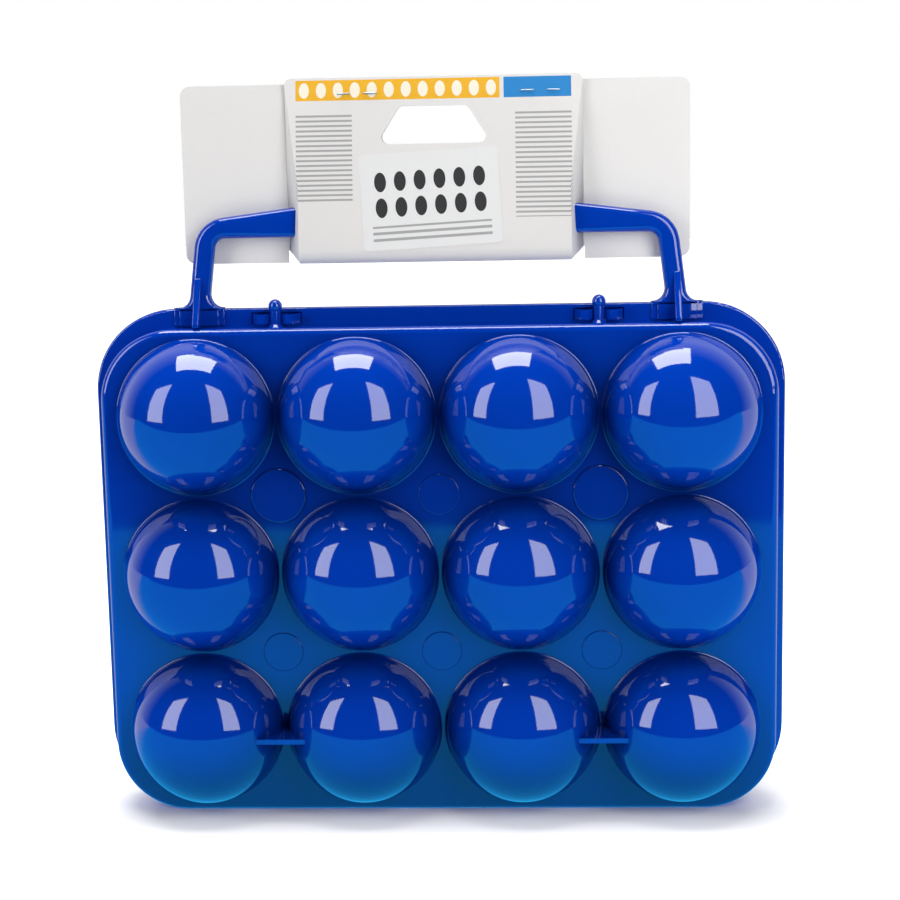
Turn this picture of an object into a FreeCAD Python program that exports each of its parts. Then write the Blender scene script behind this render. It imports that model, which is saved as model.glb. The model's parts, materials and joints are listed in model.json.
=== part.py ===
# Carrier for a dozen eggs: two shells of cups that close on each other, hinged along the
# bottom edge, with a carry handle, two snap latches and a header card folded round the handle.
# Millimetres. X runs along the hinge, -Y is the front, Z is up, and the halves meet at Y = 0.
import FreeCAD
import Part
import Sketcher
import os
import re
from FreeCAD import Rotation, Vector

SIZES = {
    # Field of egg cells
    "columns": 4,
    "rows": 3,
    "side_border": 4.4,
    "base_border": 2.0,
    "top_border": 2.0,
    "corner_land": 4.0,
    # Egg cup
    "cup_radius": 23.2,
    "cup_land": 0.8,
    "cup_depth": 20.5,
    "cup_wall": 1.4,
    "cup_foot_round": 0.7,
    "cup_mouth_round": 0.6,
    "plate_wall": 1.6,
    # Tray, the walled frame round the cells of one half
    "tray_depth": 9.4,
    "tray_wall": 1.6,
    "tray_corner": 21.5,
    "rim_round": 2.0,
    # Flange round the mouth of the rear tray, which is taller along the top
    "flange_side": 2.8,
    "flange_band": 5.3,
    "flange_depth": 3.0,
    "flange_edge_round": 0.7,
    # Hinge along the bottom edge
    "lid_opening": 125.0,
    "lid_stop_slack": 2.5,
    "hinge_inset": 40.4,
    "hinge_floor_gap": 0.15,
    "rail_cover": 1.65,
    "knuckle_radius": 2.1,
    "front_knuckle": 10.0,
    "rear_knuckle": 7.0,
    "knuckle_gap": 0.35,
    "pin_radius": 0.9,
    "pin_gap": 0.05,
    # Carry handle
    "latch_to_foot": 8.05,
    "handle_lean": 7.2,
    "handle_gap": 20.9,
    "handle_proud": 1.4,
    "leg_width": 6.3,
    "bar_end": 5.2,
    "bar_corner": 10.0,
    "bar_crown": 250.0,
    "grip_corner": 3.0,
    "foot_flare": 3.8,
    "foot_slab": 0.4,
    "foot_width": 11.8,
    "foot_step": 1.7,
    "foot_step_proud": 0.7,
    "shelf_reach": 8.4,
    "shelf_thick": 2.4,
    "shelf_gap": 0.5,
    "gusset_thick": 1.9,
    "gusset_height": 11.7,
    # Snap latch: a ball-headed post on the front half between two springy fingers on the rear
    "post_setback": 2.4,
    "ball_lift": 0.3,
    "ball_radius": 2.05,
    "neck_radius": 1.6,
    "post_flare": 0.7,
    "window_half": 7.5,
    "window_sill": 0.7,
    "window_bar": 1.1,
    "window_back": 0.6,
    "finger_floor_gap": 0.2,
    "finger_roof_gap": 0.4,
    "finger_thick": 1.1,
    "finger_reach": 4.6,
    "finger_nose": 2.0,
    "finger_root_gap": 0.3,
    "finger_post_gap": 0.35,
    # Stiffening webs and round pads on the front plate
    "web_thick": 1.5,
    "web_reach": 13.6,
    "web_gap": 0.05,
    "large_pad_radius": 8.3,
    "large_pad_height": 0.5,
    "middle_pad_radius": 6.2,
    "low_pad_radius": 6.0,
    "small_pad_height": 0.25,
    # Header card
    "card_thick": 0.45,
    "card_width": 150.4,
    "card_top_step": 1.7,
    "card_front_width": 87.6,
    "card_front_height": 54.1,
    "card_fold_drop": 7.7,
    "card_fold_round": 3.0,
    "card_rear_gap": 0.4,
    "card_bar_gap": 0.3,
    "card_corner": 3.0,
    "hang_hole_width": 34.0,
    "hang_hole_top": 20.0,
    "hang_hole_height": 11.0,
    "hang_hole_drop": 8.6,
    "label_width": 41.0,
    "label_height": 28.0,
    "label_thick": 0.12,
    "label_gap": 1.9,
    "left_staple_inset": 15.3,
    "right_staple_inset": 6.3,
    "staple_width": 12.0,
    "staple_wire": 0.5,
    "staple_clinch": 4.0,
    "staple_drop": 3.0,
    "staple_hole_gap": 0.1,
}

# Sizes that follow from the ones above
FOLLOWING = {
    "egg_pitch": "2 * (cup_radius + cup_land)",
    "cells_half": "columns * egg_pitch / 2",
    "cells_top": "base_border + rows * egg_pitch",
    "cell_corner": "tray_corner - corner_land",
    "cup_bore": "cup_radius - cup_wall",
    "bore_depth": "cup_depth - cup_wall",
    "dome_radius": "(cup_radius * cup_radius + cup_depth * cup_depth) / (2 * cup_depth)",
    "bore_radius": "(cup_bore * cup_bore + bore_depth * bore_depth) / (2 * bore_depth)",
    "tray_half": "cells_half + side_border",
    "tray_top": "cells_top + top_border",
    "flange_half": "tray_half + flange_side",
    "flange_top": "tray_top + flange_band",
    "hinge_offset": "tray_half - hinge_inset",
    "hinge_height": "knuckle_radius + hinge_floor_gap",
    "hinge_rail": "hinge_height + rail_cover",
    "relief_slope": "tan(90 - lid_opening / 2 - lid_stop_slack)",
    "latch_offset": "egg_pitch",
    "foot_centre": "latch_offset + window_half + latch_to_foot + foot_step + foot_width / 2",
    "handle_half": "foot_centre + leg_width / 2",
    "bar_underside": "flange_top + handle_gap",
    "bar_end_top": "bar_underside + bar_end",
    "bar_half": "handle_half - (handle_gap + bar_end) * tan(handle_lean)",
    "crown_height": "bar_end_top + bar_half * tan(handle_lean)",
    "shelf_bottom": "tray_top + shelf_gap",
    "shelf_top": "shelf_bottom + shelf_thick",
    "slab_top": "flange_top + foot_slab",
    "flare_reach": "foot_flare + 2 * foot_slab",
    "finger_lift": "window_sill + finger_floor_gap",
    "finger_height": "flange_band - window_bar - finger_lift - finger_roof_gap",
    "finger_root": "window_half - finger_root_gap",
    "finger_tip": "neck_radius + finger_post_gap",
    "nose_far": "finger_tip + 3 * finger_thick",
    "nose_near": "nose_far - finger_nose",
    "post_height": "finger_lift + finger_height + ball_lift + 2 * ball_radius",
    "card_back": "flange_depth + card_rear_gap",
    "card_outer": "card_back + card_thick",
    "card_fold": "bar_underside - card_fold_drop",
    "fold_inside": "card_fold + card_thick",
    "crown_share": "(crown_height - card_fold) / card_front_height",
    "card_foot": "(handle_proud + card_bar_gap + card_back * crown_share) / (1 - crown_share)",
    "card_front_reach": "card_foot + card_thick",
    "card_slope": "(card_back + card_foot) / card_front_height",
    "card_front_top": "card_fold + card_front_height",
    "card_rear_top": "card_front_top - card_top_step",
    "hang_hole_roof": "card_front_top - hang_hole_drop",
    "hang_hole_floor": "hang_hole_roof - hang_hole_height",
    "label_rise": "hang_hole_floor - label_gap - label_height - card_fold",
    "staple_height": "card_rear_top - staple_drop",
    "staple_low": "staple_height - staple_wire / 2",
    "staple_face": "(staple_low - card_fold) * card_slope - card_front_reach",
    "staple_front": "staple_face - staple_wire",
    "left_staple": "left_staple_inset + staple_width / 2 - card_front_width / 2",
    "right_staple": "card_front_width / 2 - right_staple_inset - staple_width / 2",
}

document = FreeCAD.newDocument("egg_carrier")
sheet = document.addObject("Spreadsheet::Sheet", "Sizes")
for row, (alias, size) in enumerate(SIZES.items(), start=1):
    sheet.set(f"A{row}", alias)
    sheet.set(f"B{row}", str(size))
    sheet.setAlias(f"B{row}", alias)
document.recompute()

SQUARE_CORNERS = (False, False, False, False)
ROUND_CORNERS = (True, True, True, True)
TOWARD_FRONT = Rotation(Vector(1, 0, 0), 90)
TURNED_BACK = Rotation(Vector(0, 0, 1), 180)
pieces = []


def bound(text):
    """Write an expression of size names so that it reads them from the sheet."""
    def from_sheet(word):
        if word[0] in FOLLOWING:
            return f"({bound(FOLLOWING[word[0]])})"
        return f"Sizes.{word[0]}" if word[0] in SIZES else word[0]

    return re.sub(r"[a-z][a-z_]*", from_sheet, text)


def value(thing, text):
    return float(thing.evalExpression(bound(text)))


def bind(thing, path, text):
    thing.setExpression(path, bound(text))


def place(thing, x="0", y="0", z="0", turn=None):
    """Put an object at a point given by expressions, after turning it."""
    if turn:
        thing.Placement = FreeCAD.Placement(Vector(), turn)
    for axis, text in zip("xyz", (x, y, z)):
        bind(thing, f"Placement.Base.{axis}", text)


def keep(thing, label):
    """Name an object as one of the pieces of the carrier."""
    thing.Label = label
    pieces.append(thing)
    return thing


def new_body(label):
    return keep(document.addObject("PartDesign::Body", label), label)


def origin_plane(body, role):
    return next(feature for feature in body.Origin.OriginFeatures if feature.Role == role)


def new_sketch(body, name, role, offset="0"):
    sketch = body.newObject("Sketcher::SketchObject", name)
    sketch.AttachmentSupport = [(origin_plane(body, role), "")]
    sketch.MapMode = "FlatFace"
    bind(sketch, "AttachmentOffset.Base.z", offset)
    return sketch


def fix_point(sketch, geometry, point, x, y):
    """Hold one point of a sketch at a place given by two expressions."""
    for kind, text in (("DistanceX", x), ("DistanceY", y)):
        rule = Sketcher.Constraint(kind, -1, 1, geometry, point, value(sketch, text))
        bind(sketch, f"Constraints[{sketch.addConstraint(rule)}]", text)


def fix_radius(sketch, geometry, radius):
    rule = Sketcher.Constraint("Radius", geometry, value(sketch, radius))
    bind(sketch, f"Constraints[{sketch.addConstraint(rule)}]", radius)


def draw_polygon(sketch, corners):
    points = [Vector(value(sketch, x), value(sketch, y), 0) for x, y in corners]
    first = sketch.GeometryCount
    count = len(points)
    for here in range(count):
        sketch.addGeometry(Part.LineSegment(points[here], points[(here + 1) % count]))
    for here, (x, y) in enumerate(corners):
        following = first + (here + 1) % count
        sketch.addConstraint(Sketcher.Constraint("Coincident", first + here, 2, following, 1))
        fix_point(sketch, first + here, 1, x, y)


def draw_rectangle(sketch, left, right, bottom, top, radius="0", rounded=ROUND_CORNERS):
    """Rectangle whose corners, counted anticlockwise from the lower left, may be rounded."""
    corners = ((left, bottom, 1, 1), (right, bottom, -1, 1), (right, top, -1, -1), (left, top, 1, -1))
    stops = []
    for number, (x, y, inward_x, inward_y) in enumerate(corners):
        if not rounded[number]:
            stops.append([(x, y)])
            continue
        along_x = (f"{x} + {inward_x} * ({radius})", y)
        along_y = (x, f"{y} + {inward_y} * ({radius})")
        stops.append([along_y, along_x] if number % 2 == 0 else [along_x, along_y])
    sides = []
    for number in range(4):
        start, end = stops[number][-1], stops[(number + 1) % 4][0]
        ends = [Vector(value(sketch, x), value(sketch, y), 0) for x, y in (start, end)]
        side = sketch.addGeometry(Part.LineSegment(*ends))
        fix_point(sketch, side, 1, *start)
        fix_point(sketch, side, 2, *end)
        sides.append(side)
    for number, (x, y, inward_x, inward_y) in enumerate(corners):
        if not rounded[number]:
            continue
        before, after = sides[number - 1], sides[number]
        size = value(sketch, radius)
        centre = Vector(value(sketch, x) + inward_x * size, value(sketch, y) + inward_y * size, 0)
        middle = centre - Vector(inward_x, inward_y, 0).normalize() * size
        start = sketch.Geometry[before].EndPoint
        arc = sketch.addGeometry(Part.Arc(start, middle, sketch.Geometry[after].StartPoint))
        sketch.addConstraint(Sketcher.Constraint("Coincident", before, 2, arc, 1))
        sketch.addConstraint(Sketcher.Constraint("Coincident", arc, 2, after, 1))
        fix_radius(sketch, arc, radius)


def draw_block(sketch, centre, width, bottom, top):
    """Square-cornered rectangle about a centre line."""
    draw_rectangle(sketch, f"{centre} - {width} / 2", f"{centre} + {width} / 2", bottom, top,
                   rounded=SQUARE_CORNERS)


def draw_circle(sketch, x, y, radius):
    centre = Vector(value(sketch, x), value(sketch, y), 0)
    circle = sketch.addGeometry(Part.Circle(centre, Vector(0, 0, 1), value(sketch, radius)))
    fix_point(sketch, circle, 3, x, y)
    fix_radius(sketch, circle, radius)


def extrude(body, kind, sketch, length, backwards=False, both_ways=False):
    """Pad or pocket a sketch. A pad follows the sketch's normal and a pocket goes against it."""
    feature = body.newObject(f"PartDesign::{kind}", kind)
    feature.Profile = sketch
    feature.Reversed = backwards
    feature.SideType = "Symmetric" if both_ways else "One side"
    bind(feature, "Length", length)
    document.recompute()


def round_edges(body, wanted, radius):
    """Round the edges of the body so far that a test picks."""
    base = body.Tip
    picked = [f"Edge{number}" for number, edge in enumerate(base.Shape.Edges, start=1) if wanted(edge)]
    feature = body.newObject("PartDesign::Fillet", "Fillet")
    feature.Base = (base, picked)
    bind(feature, "Radius", radius)
    document.recompute()


def near(one, other):
    return abs(one - other) < 1e-4


def lies_at_y(place_along_y):
    """Test for edges that lie in one plane across Y."""
    return lambda edge: near(edge.BoundBox.YMin, place_along_y) and near(edge.BoundBox.YMax, place_along_y)


def runs_along(body, axis, corners):
    """Test for straight edges along one axis through some corners, each given by two expressions."""
    across = [name for name in "xyz" if name != axis]
    spots = [(value(body, first), value(body, second)) for first, second in corners]

    def wanted(edge):
        ends = [[getattr(vertex.Point, name) for name in across] for vertex in edge.Vertexes]
        if len(ends) != 2:
            return False
        return any(all(near(end[0], spot[0]) and near(end[1], spot[1]) for end in ends) for spot in spots)

    return wanted


def add_hinge(body, is_front):
    """Knuckles of one half on the hinge line, with room for the knuckles of the other half."""
    middle = "(front_knuckle / 2)"
    outer_start = f"({middle} + knuckle_gap)"
    outer_end = f"({outer_start} + rear_knuckle)"
    if is_front:
        rooms = ((f"-{outer_end} - knuckle_gap", f"-{middle}"), (middle, f"{outer_end} + knuckle_gap"))
        knuckles = ((f"-{middle}", middle),)
        bore = "pin_radius + pin_gap"
    else:
        rooms = ((f"-{outer_start}", outer_start),)
        knuckles = ((f"-{outer_end}", f"-{outer_start}"), (outer_start, outer_end))
        bore = "pin_radius"
    steps = (("Pocket", "knuckle_radius + knuckle_gap", rooms), ("Pad", "knuckle_radius", knuckles),
             ("Pocket", bore, knuckles))
    for side in (-1, 1):
        for kind, radius, spans in steps:
            for start, end in spans:
                sketch = new_sketch(body, "HingeCircle", "YZ_Plane", f"{side} * hinge_offset + {start}")
                draw_circle(sketch, "0", "hinge_height", radius)
                extrude(body, kind, sketch, f"{end} - ({start})", backwards=kind == "Pocket")


def tray(label, is_front):
    """One half's frame: walls, rim, window for the cells, hinge and, on the rear half, the flange."""
    body = new_body(label)
    out = -1 if is_front else 1
    if not is_front:
        flange = new_sketch(body, "FlangeOutline", "XZ_Plane")
        draw_rectangle(flange, "-flange_half", "flange_half", "0", "flange_top", "tray_corner + flange_side")
        extrude(body, "Pad", flange, "flange_depth", backwards=True)
        round_edges(body, lies_at_y(0), "flange_edge_round")
    outline = new_sketch(body, "TrayOutline", "XZ_Plane")
    draw_rectangle(outline, "-tray_half", "tray_half", "0", "tray_top", "tray_corner")
    extrude(body, "Pad", outline, "tray_depth", backwards=not is_front)
    round_edges(body, lies_at_y(out * value(body, "tray_depth")), "rim_round")

    inside = new_sketch(body, "InsideOutline", "XZ_Plane")
    draw_rectangle(inside, "tray_wall - tray_half", "tray_half - tray_wall", "hinge_rail",
                   "tray_top - tray_wall", "tray_corner - tray_wall")
    extrude(body, "Pocket", inside, "tray_depth - plate_wall", backwards=is_front)
    window = new_sketch(body, "CellWindow", "XZ_Plane", f"{-out} * tray_depth")
    draw_rectangle(window, "-cells_half", "cells_half", "base_border", "cells_top", "cell_corner")
    extrude(body, "Pocket", window, "plate_wall", backwards=not is_front)

    # The bottom edges slope away from the hinge line, which lets the halves fold open.
    relief = new_sketch(body, "HingeRelief", "YZ_Plane")
    draw_polygon(relief, (("0", "hinge_height"), (f"{out} * hinge_height / relief_slope", "0"),
                          ("0", "-hinge_height")))
    extrude(body, "Pocket", relief, "2 * flange_half + tray_wall", both_ways=True)
    if not is_front:
        for side in (-1, 1):
            opening = new_sketch(body, "LatchWindow", "XZ_Plane")
            draw_block(opening, f"{side} * latch_offset", "(2 * window_half)", "tray_top + window_sill",
                       "flange_top - window_bar")
            extrude(body, "Pocket", opening, "flange_depth - window_back")
    add_hinge(body, is_front)


def add_dome(body, kind, radius, depth):
    """Cap of a ball that stands a given depth in front of the plate, added or cut away."""
    dome = body.newObject(f"PartDesign::{kind}Sphere", "Dome")
    dome.AttachmentSupport = [(origin_plane(body, "XZ_Plane"), "")]
    dome.MapMode = "FlatFace"
    bind(dome, "AttachmentOffset.Base.z", f"{depth} - {radius}")
    bind(dome, "Radius", radius)
    bind(dome, "Angle1", f"asin(({radius} - {depth}) / {radius})")
    document.recompute()


def cup(label, column, line, is_front):
    """One egg cup with its square of the plate. Columns count from the left and lines from the bottom."""
    body = new_body(label)
    last_column, last_line = SIZES["columns"] - 1, SIZES["rows"] - 1
    at_left = column == (0 if is_front else last_column)
    at_right = column == (last_column if is_front else 0)
    at_bottom, at_top = line == 0, line == last_line
    rounded = (at_left and at_bottom, at_right and at_bottom, at_right and at_top, at_left and at_top)
    square = new_sketch(body, "PlateSquare", "XZ_Plane")
    draw_rectangle(square, "-egg_pitch / 2", "egg_pitch / 2", "-egg_pitch / 2", "egg_pitch / 2",
                   "cell_corner", rounded)
    extrude(body, "Pad", square, "plate_wall", backwards=True)

    def is_ring(place_along_y, radius):
        at_place, reach = lies_at_y(value(body, place_along_y)), value(body, radius)
        return lambda edge: at_place(edge) and near(edge.BoundBox.XMax, reach)

    add_dome(body, "Additive", "dome_radius", "cup_depth")
    round_edges(body, is_ring("0", "cup_radius"), "cup_foot_round")
    mouth = new_sketch(body, "CupMouth", "XZ_Plane")
    draw_circle(mouth, "0", "0", "cup_bore")
    extrude(body, "Pocket", mouth, "plate_wall")
    add_dome(body, "Subtractive", "bore_radius", "bore_depth")
    round_edges(body, is_ring("plate_wall", "cup_bore"), "cup_mouth_round")
    place(body, f"({column} + 1 / 2) * egg_pitch - cells_half", "-tray_depth" if is_front else "tray_depth",
          f"base_border + ({line} + 1 / 2) * egg_pitch", None if is_front else TURNED_BACK)


def carry_handle():
    """Leaning legs and a crowned bar in one plate, with a stepped, gusseted foot on each leg."""
    body = new_body("carry_handle")
    leg_outside = "(handle_half - foot_slab * tan(handle_lean))"
    leg_inside = f"({leg_outside} - leg_width)"
    grip_half = "(handle_half - leg_width - handle_gap * tan(handle_lean))"
    outer_end = "(handle_half + flare_reach)"
    inner_end = "(handle_half - leg_width - flare_reach)"
    right_half = (("bar_half", "bar_end_top"), (leg_outside, "slab_top"), (outer_end, "slab_top"),
                  (outer_end, "flange_top"), (inner_end, "flange_top"), (inner_end, "slab_top"),
                  (leg_inside, "slab_top"), (grip_half, "bar_underside"))
    left_half = [(f"-{x}", z) for x, z in reversed(right_half)]
    outline = new_sketch(body, "HandleOutline", "XZ_Plane", "handle_proud")
    draw_polygon(outline, [("0", "crown_height"), *right_half, *left_half])
    extrude(body, "Pad", outline, "handle_proud + flange_depth", backwards=True)

    def both_sides(*corners):
        return runs_along(body, "y", [(f"{side} * {x}", z) for x, z in corners for side in (-1, 1)])

    round_edges(body, both_sides(("bar_half", "bar_end_top")), "bar_corner")
    round_edges(body, both_sides(("0", "crown_height")), "bar_crown")
    round_edges(body, both_sides((grip_half, "bar_underside")), "grip_corner")
    round_edges(body, both_sides((leg_outside, "slab_top"), (leg_inside, "slab_top")), "foot_flare")

    # Each foot: a root in front of the flange's band, in two steps, a shelf over the front tray, a gusset
    blocks = (("foot_width", "slab_top", "handle_proud"),
              ("(foot_width + 2 * foot_step)", "slab_top", "foot_step_proud"),
              ("foot_width", "shelf_top", "shelf_reach"))
    for side in (-1, 1):
        centre = f"{side} * foot_centre"
        for width, top, reach in blocks:
            block = new_sketch(body, "FootBlock", "XZ_Plane")
            draw_block(block, centre, width, "shelf_bottom", top)
            extrude(body, "Pad", block, reach)
        gusset = new_sketch(body, "Gusset", "YZ_Plane", centre)
        draw_polygon(gusset, (("-handle_proud", "shelf_top"), ("-handle_proud", "shelf_top + gusset_height"),
                              ("-shelf_reach", "shelf_top")))
        extrude(body, "Pad", gusset, "gusset_thick", both_ways=True)


def latch_finger(label, latch_side, finger_side):
    """Springy finger that reaches forward out of the latch window and hooks back beside the post."""
    body = new_body(label)
    plan = new_sketch(body, "FingerPlan", "XY_Plane", "tray_top + finger_lift")
    path = (("finger_root", "0"), ("nose_far", "-finger_reach"), ("nose_near", "-finger_reach"),
            ("finger_tip", "-post_setback"),
            ("finger_tip + finger_thick", "finger_thick / 2 - post_setback"),
            ("nose_near + finger_thick / 2", "finger_thick - finger_reach"),
            ("nose_far - finger_thick / 2", "finger_thick - finger_reach"),
            ("finger_root", "2 * finger_thick"))
    post = f"{latch_side} * latch_offset"
    draw_polygon(plan, [(f"{post} + {finger_side} * ({across})", y) for across, y in path])
    extrude(body, "Pad", plan, "finger_height")


def primitive(kind, sizes, x="0", y="0", z="0", turn=None):
    """Simple solid whose sizes are expressions."""
    thing = document.addObject(f"Part::{kind}", kind)
    for name, text in sizes.items():
        bind(thing, name, text)
    place(thing, x, y, z, turn)
    return thing


def fuse(label, parts):
    whole = document.addObject("Part::MultiFuse", label)
    whole.Shapes = parts
    return whole


def latch_post(label, side):
    """Post with a flared base, a neck and a ball head."""
    where = (f"{side} * latch_offset", "-post_setback")
    neck = primitive("Cylinder", {"Radius": "neck_radius", "Height": "post_height - ball_radius"}, *where,
                     "tray_top")
    flare = primitive("Cone", {"Radius1": "neck_radius + post_flare", "Radius2": "neck_radius",
                               "Height": "post_flare"}, *where, "tray_top")
    ball = primitive("Sphere", {"Radius": "ball_radius"}, *where, "tray_top + post_height - ball_radius")
    keep(fuse(label, [neck, flare, ball]), label)


def web_rib(label, side):
    """Thin web across the valley between two cups of the bottom row."""
    cup_height = "(base_border + egg_pitch / 2)"
    blank = primitive("Box", {"Length": "egg_pitch", "Width": "web_reach", "Height": "web_thick"},
                      f"{side} * egg_pitch - egg_pitch / 2", "-tray_depth - web_reach",
                      f"{cup_height} - web_thick / 2")
    rooms = []
    for neighbour in (-1, 1):
        across = f"{side} * egg_pitch + {neighbour} * egg_pitch / 2"
        rooms.append(primitive("Sphere", {"Radius": "dome_radius + web_gap"}, across,
                               "dome_radius - cup_depth - tray_depth", cup_height))
        foot = {"Radius": "cup_radius + cup_foot_round", "Height": "cup_foot_round"}
        rooms.append(primitive("Cylinder", foot, across, "-tray_depth", cup_height, TOWARD_FRONT))
    rib = document.addObject("Part::Cut", label)
    rib.Base = blank
    rib.Tool = fuse("CupRooms", rooms)
    keep(rib, label)


def plate_pads():
    """Low round pads on the front plate where four cups meet: an upper row and a lower one."""
    outer, middle = ("large_pad_radius", "large_pad_height"), ("middle_pad_radius", "small_pad_height")
    pads = []
    for column in (-1, 0, 1):
        upper = outer if column else middle
        for crossing, (radius, height) in ((2, upper), (1, ("low_pad_radius", "small_pad_height"))):
            pads.append(primitive("Cylinder", {"Radius": radius, "Height": height}, f"{column} * egg_pitch",
                                  "-tray_depth", f"base_border + {crossing} * egg_pitch", TOWARD_FRONT))
    whole = document.addObject("Part::Compound", "plate_pads")
    whole.Links = pads
    keep(whole, "plate_pads")


def hinge_pin(label, side):
    length = "(front_knuckle + 2 * rear_knuckle + 2 * knuckle_gap)"
    along_hinge = Rotation(Vector(0, 1, 0), 90)
    pin = primitive("Cylinder", {"Radius": "pin_radius", "Height": length},
                    f"{side} * hinge_offset - {length} / 2", "0", "hinge_height", along_hinge)
    keep(pin, label)


def staple_legs():
    """Centre line and inward side of each of the four staple legs."""
    return [(f"({centre} + {side} * (staple_width - staple_wire) / 2)", -side)
            for centre in ("left_staple", "right_staple") for side in (-1, 1)]


def header_card():
    """One sheet folded under the bar: a wide panel behind the handle and a narrow one in front."""
    body = new_body("header_card")
    front_foot = "(card_thick * card_slope - card_foot)"
    profile = new_sketch(body, "CardProfile", "YZ_Plane")
    draw_polygon(profile, (("card_outer", "card_fold"), ("card_outer", "card_rear_top"),
                           ("card_back", "card_rear_top"), ("card_back", "fold_inside"),
                           (front_foot, "fold_inside"), ("card_back", "card_front_top"),
                           ("card_back - card_thick", "card_front_top"), ("-card_front_reach", "card_fold")))
    extrude(body, "Pad", profile, "card_front_width", both_ways=True)
    inside_fold = (("card_back", "fold_inside"), (front_foot, "fold_inside"))
    outside_fold = (("card_outer", "card_fold"), ("-card_front_reach", "card_fold"))
    round_edges(body, runs_along(body, "x", inside_fold), "card_fold_round")
    round_edges(body, runs_along(body, "x", outside_fold), "card_fold_round + card_thick")

    fold_end = "card_fold + 2 * card_fold_round"
    rear = new_sketch(body, "RearPanel", "XZ_Plane", "-card_outer")
    draw_polygon(rear, (("-card_width / 2", "card_fold"), ("-card_front_width / 2", "card_fold"),
                        ("-card_front_width / 2", fold_end), ("card_front_width / 2", fold_end),
                        ("card_front_width / 2", "card_fold"), ("card_width / 2", "card_fold"),
                        ("card_width / 2", "card_rear_top"), ("-card_width / 2", "card_rear_top")))
    extrude(body, "Pad", rear, "card_thick")
    rear_corners = [(f"{side} * card_width / 2", height) for side in (-1, 1)
                    for height in ("card_fold", "card_rear_top")]
    round_edges(body, runs_along(body, "y", rear_corners), "card_corner")

    holes = new_sketch(body, "CardHoles", "XZ_Plane")
    draw_polygon(holes, (("-hang_hole_width / 2", "hang_hole_floor"),
                         ("hang_hole_width / 2", "hang_hole_floor"), ("hang_hole_top / 2", "hang_hole_roof"),
                         ("-hang_hole_top / 2", "hang_hole_roof")))
    room = "(staple_wire / 2 + staple_hole_gap)"
    for leg, inward in staple_legs():
        draw_block(holes, leg, f"(2 * {room})", f"staple_height - {room}", f"staple_height + {room}")
    extrude(body, "Pocket", holes, "2 * (card_outer + card_front_reach)", both_ways=True)


def card_label():
    """Paper label on the leaning front panel."""
    lean = "atan(card_slope)"
    face = "label_rise * card_slope - card_front_reach"
    paper = primitive("Box", {"Length": "label_width", "Width": "label_thick", "Height": "label_height"},
                      "-label_width / 2", f"{face} - label_thick * cos({lean})",
                      f"card_fold + label_rise + label_thick * sin({lean})",
                      Rotation(Vector(1, 0, 0), -value(sheet, lean)))
    keep(paper, "card_label")


def card_staples():
    """Two staples through both panels: a crown behind, two legs, and their ends bent inward in front."""
    wire = {"Length": "staple_wire", "Width": "staple_wire", "Height": "staple_wire"}
    parts = []
    for centre in ("left_staple", "right_staple"):
        parts.append(primitive("Box", {**wire, "Length": "staple_width"}, f"{centre} - staple_width / 2",
                               "card_outer", "staple_low"))
    for leg, inward in staple_legs():
        parts.append(primitive("Box", {**wire, "Width": "card_outer + staple_wire - staple_front"},
                               f"{leg} - staple_wire / 2", "staple_front", "staple_low"))
        parts.append(primitive("Box", {**wire, "Length": "staple_clinch"},
                               f"{leg} - staple_clinch / 2 + {inward} * (staple_clinch - staple_wire) / 2",
                               "staple_front", "staple_low"))
    keep(fuse("card_staples", parts), "card_staples")


LINES = ("bottom", "middle", "top")
for half, is_front in (("front", True), ("rear", False)):
    tray(f"{half}_tray", is_front)
    for line in range(SIZES["rows"]):
        for column in range(SIZES["columns"]):
            cup(f"{half}_cup_{LINES[line]}_{column + 1}", column, line, is_front)
for name, side in (("left", -1), ("right", 1)):
    hinge_pin(f"hinge_pin_{name}", side)
    latch_post(f"latch_post_{name}", side)
    web_rib(f"web_rib_{name}", side)
    latch_finger(f"latch_finger_{name}_inner", side, -side)
    latch_finger(f"latch_finger_{name}_outer", side, side)
plate_pads()
carry_handle()
header_card()
card_label()
card_staples()
document.recompute()

for thing in document.Objects:
    if "Invalid" in thing.State or "Error" in thing.State:
        raise RuntimeError(f"{thing.Label} did not recompute: {thing.State}")
for thing in pieces:
    if thing.Shape.isNull() or not thing.Shape.isValid():
        raise RuntimeError(f"{thing.Label} has no valid shape")
os.makedirs("parts", exist_ok=True)
for thing in pieces:
    thing.Shape.exportStep(f"parts/{thing.Label}.step")
    print(thing.Label, len(thing.Shape.Solids), round(thing.Shape.Volume, 1))
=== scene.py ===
# %% [markdown]
# A hinged egg carrier in glossy blue plastic. It stands on its bottom edge with a folded header card
# round its handle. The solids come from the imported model; this lesson gives them their surfaces, makes
# the handle, the cups, the pads and the card again with finer skins, and sets up a small photo studio
# round them.

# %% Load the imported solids
import bmesh
import bpy
import json
import math
from mathutils import Matrix, Vector
from mathutils.geometry import delaunay_2d_cdt


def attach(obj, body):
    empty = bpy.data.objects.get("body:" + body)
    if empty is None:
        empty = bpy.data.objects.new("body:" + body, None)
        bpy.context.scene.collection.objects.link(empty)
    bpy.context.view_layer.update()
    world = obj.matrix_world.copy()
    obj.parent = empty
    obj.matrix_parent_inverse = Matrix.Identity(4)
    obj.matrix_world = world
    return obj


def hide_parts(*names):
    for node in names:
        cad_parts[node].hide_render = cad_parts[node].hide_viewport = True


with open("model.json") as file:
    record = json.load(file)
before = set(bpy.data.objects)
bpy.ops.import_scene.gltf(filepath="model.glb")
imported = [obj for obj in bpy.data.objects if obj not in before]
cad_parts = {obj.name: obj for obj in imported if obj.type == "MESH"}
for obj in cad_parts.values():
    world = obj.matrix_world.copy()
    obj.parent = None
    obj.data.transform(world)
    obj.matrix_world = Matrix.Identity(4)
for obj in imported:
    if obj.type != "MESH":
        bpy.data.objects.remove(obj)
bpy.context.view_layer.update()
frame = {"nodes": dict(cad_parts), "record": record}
scene = bpy.context.scene
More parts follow.
